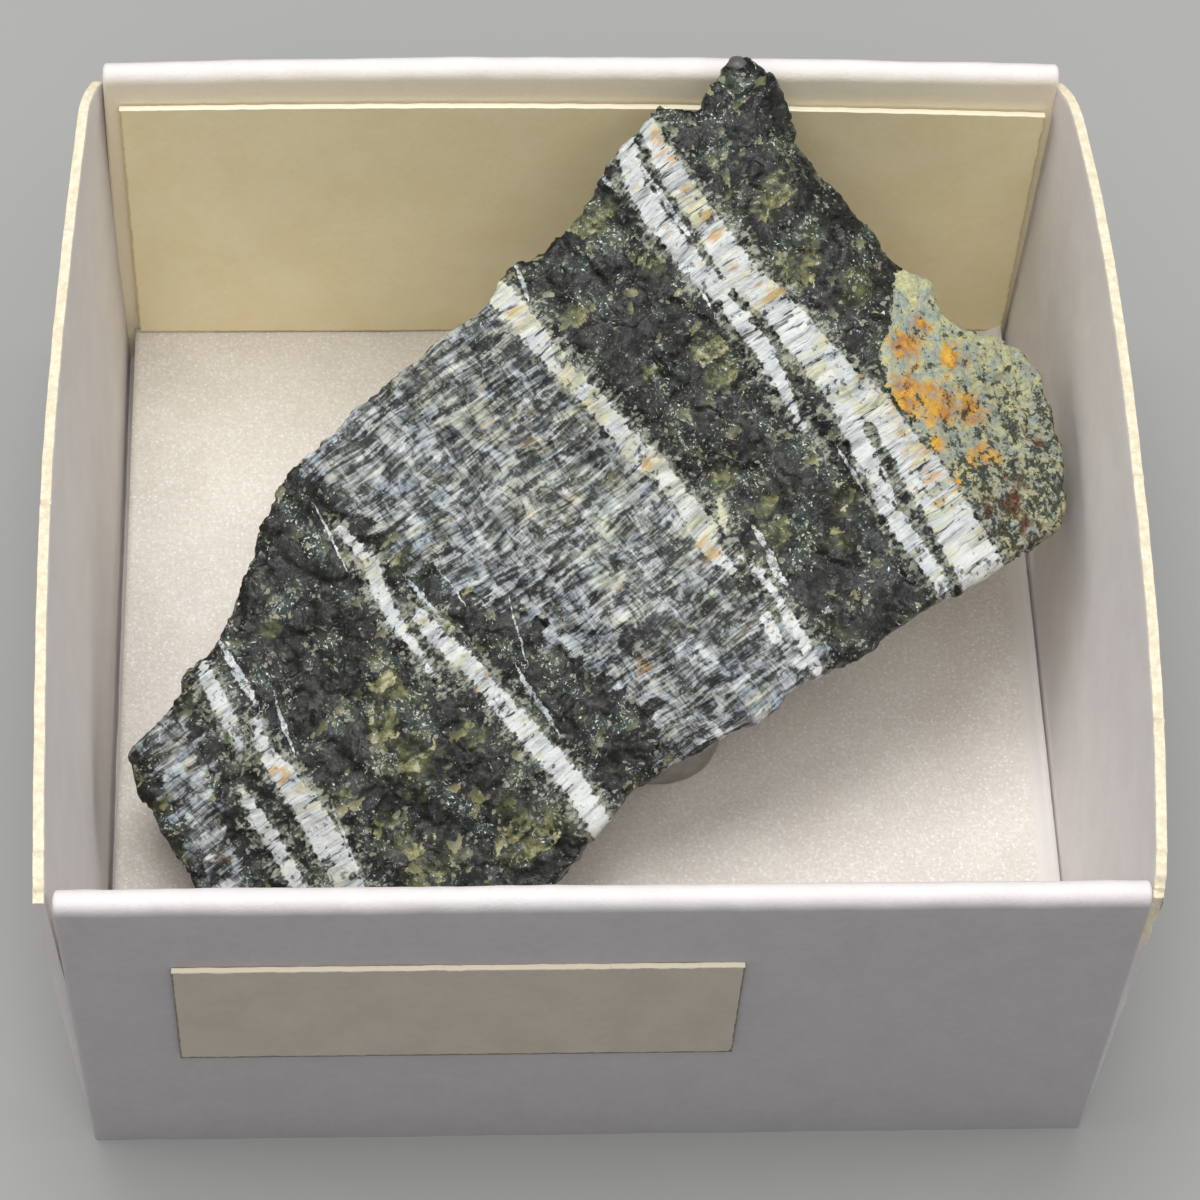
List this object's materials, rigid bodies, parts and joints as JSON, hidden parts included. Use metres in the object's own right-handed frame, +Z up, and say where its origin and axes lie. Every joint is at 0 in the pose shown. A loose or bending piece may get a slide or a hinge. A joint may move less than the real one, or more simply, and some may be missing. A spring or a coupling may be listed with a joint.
{
  "type": "banded serpentine specimen in a card tray",
  "caption": "Broken slab of dark green serpentine with white fibrous bands, propped on putty over a foam pad in a small square card tray with blank labels.",
  "frame": {"origin": "middle of the tray's underside, on the surface it stands on", "axes": "+Z up, +X to the right along the front wall that carries the number label, +Y towards the back wall that carries the name card"},
  "size_m": [0.0429, 0.0404, 0.022],
  "materials": {
    "tray_board": "white-lined folding board, matt, with raw cream cut edges",
    "foam": "fine closed-cell foam sheet with sparkling open cells",
    "cream_card": "smooth cream card, matt",
    "putty": "pressed grey mounting putty, smooth",
    "serpentine": "broken dark green serpentine, waxy, with silky white fibrous bands"
  },
  "bodies": {
    "root": {"card_tray": "tray_board", "foam_pad": "foam", "name_card": "cream_card", "number_label": "cream_card", "putty": "putty", "serpentine_rock": "serpentine"}
  },
  "joints": []
}
